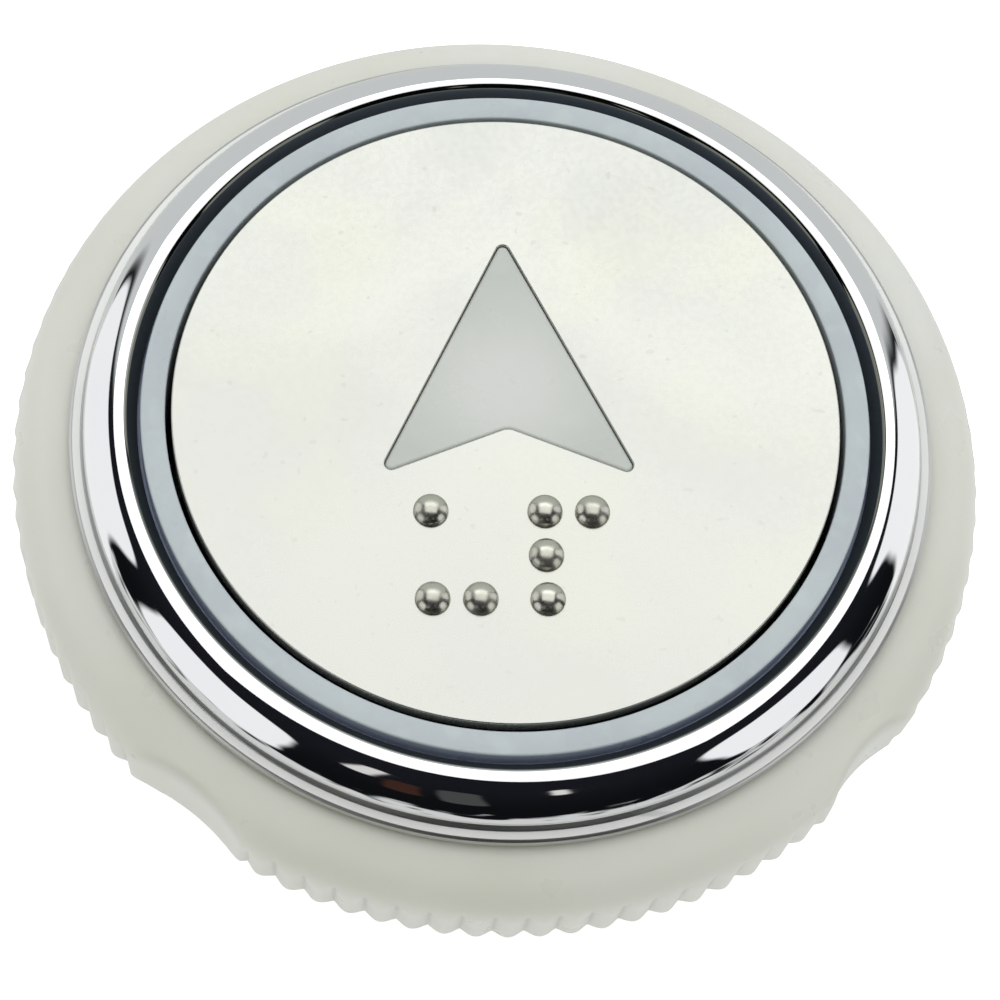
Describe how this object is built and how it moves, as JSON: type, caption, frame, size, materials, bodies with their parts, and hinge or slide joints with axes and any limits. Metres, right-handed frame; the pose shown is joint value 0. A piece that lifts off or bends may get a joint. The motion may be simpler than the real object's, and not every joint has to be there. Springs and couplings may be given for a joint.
{
  "type": "illuminated lift call push button",
  "caption": "Round panel-mounted lift call button: mirror bezel, lit ring, steel push plate with up arrow and tactile dots, hand nut behind.",
  "frame": {"origin": "centre of the flat rear face, on the button's axis; the panel's front plane is 16.9 mm above it", "axes": "+Z along the press axis towards the person, +Y along the arrow, +X to the right of the arrow seen from the front"},
  "size_m": [0.0528, 0.0528, 0.0208],
  "materials": {
    "mirror_chrome": "mirror polished chrome plate",
    "satin_stainless": "fine satin, almost white under studio light, with faint handling marks",
    "polished_stainless": "polished round pin heads",
    "milky_nylon": "milky translucent natural nylon, semi-matt",
    "grey_diffuser": "bluish-grey light-guide plastic, unlit, semi-gloss",
    "arrow_diffuser": "grey milky diffuser, unlit",
    "black_plastic": "moulded black, fine texture",
    "white_reflector": "matt white reflector",
    "board_green": "green solder mask",
    "black_rubber": "matt rubber",
    "spring_steel": "bright drawn wire",
    "zinc_plate": "bright zinc plate",
    "tinned_brass": "bright contact plating",
    "led_package": "small white package with a clear top",
    "resistor_black": "matt black chip",
    "ivory_plastic": "moulded ivory"
  },
  "bodies": {
    "root": {"bezel_ring": "mirror_chrome", "panel_gasket": "black_rubber", "halo_light_guide": "grey_diffuser", "housing_body": "black_plastic", "rear_cover": "black_plastic", "switch_body": "black_plastic", "circuit_board": "board_green", "light_baffle": "white_reflector", "board_screw_1": "zinc_plate", "board_screw_2": "zinc_plate", "led_halo_1": "led_package", "led_halo_2": "led_package", "led_halo_3": "led_package", "led_halo_4": "led_package", "led_halo_5": "led_package", "led_halo_6": "led_package", "led_arrow_1": "led_package", "led_arrow_2": "led_package", "resistor_1": "resistor_black", "resistor_2": "resistor_black", "resistor_3": "resistor_black", "resistor_4": "resistor_black", "switch_cover": "ivory_plastic", "connector_shell": "ivory_plastic", "connector_pin_1": "tinned_brass", "connector_pin_2": "tinned_brass", "connector_pin_3": "tinned_brass", "connector_pin_4": "tinned_brass", "return_spring": "spring_steel"},
    "plunger": {"push_plate": "satin_stainless", "braille_pin_1": "polished_stainless", "braille_pin_2": "polished_stainless", "braille_pin_3": "polished_stainless", "braille_pin_4": "polished_stainless", "braille_pin_5": "polished_stainless", "braille_pin_6": "polished_stainless", "braille_pin_7": "polished_stainless", "arrow_lens": "arrow_diffuser", "plunger_carrier": "black_plastic"},
    "switch_actuator": {"switch_button": "ivory_plastic"},
    "washer": {"clamp_washer": "zinc_plate"},
    "nut": {"lock_nut": "milky_nylon"}
  },
  "joints": [
    {"name": "press_travel", "type": "slide", "parent": "root", "child": "plunger", "axis": [0, 0, -1], "range_m": [0, 0.0012], "stiffness_N_per_m": 1200, "springref_m": -0.002, "deforming": ["return_spring"]},
    {"name": "switch_travel", "type": "slide", "parent": "root", "child": "switch_actuator", "axis": [0, 0, -1], "range_m": [0, 0.0012]},
    {"name": "washer_slide", "type": "slide", "parent": "root", "child": "washer", "axis": [0, 0, -1], "range_m": [0, 0.004]},
    {"name": "nut_turn", "type": "hinge", "parent": "washer", "child": "nut", "pos_m": [0, 0, 0.0138], "axis": [0, 0, -1], "range_deg": [0, 720]}
  ],
  "couplings": [
    {"joint": "switch_travel", "follows": "press_travel", "ratio": 1},
    {"joint": "washer_slide", "follows": "nut_turn", "m_per_rad": 0.0003183}
  ]
}
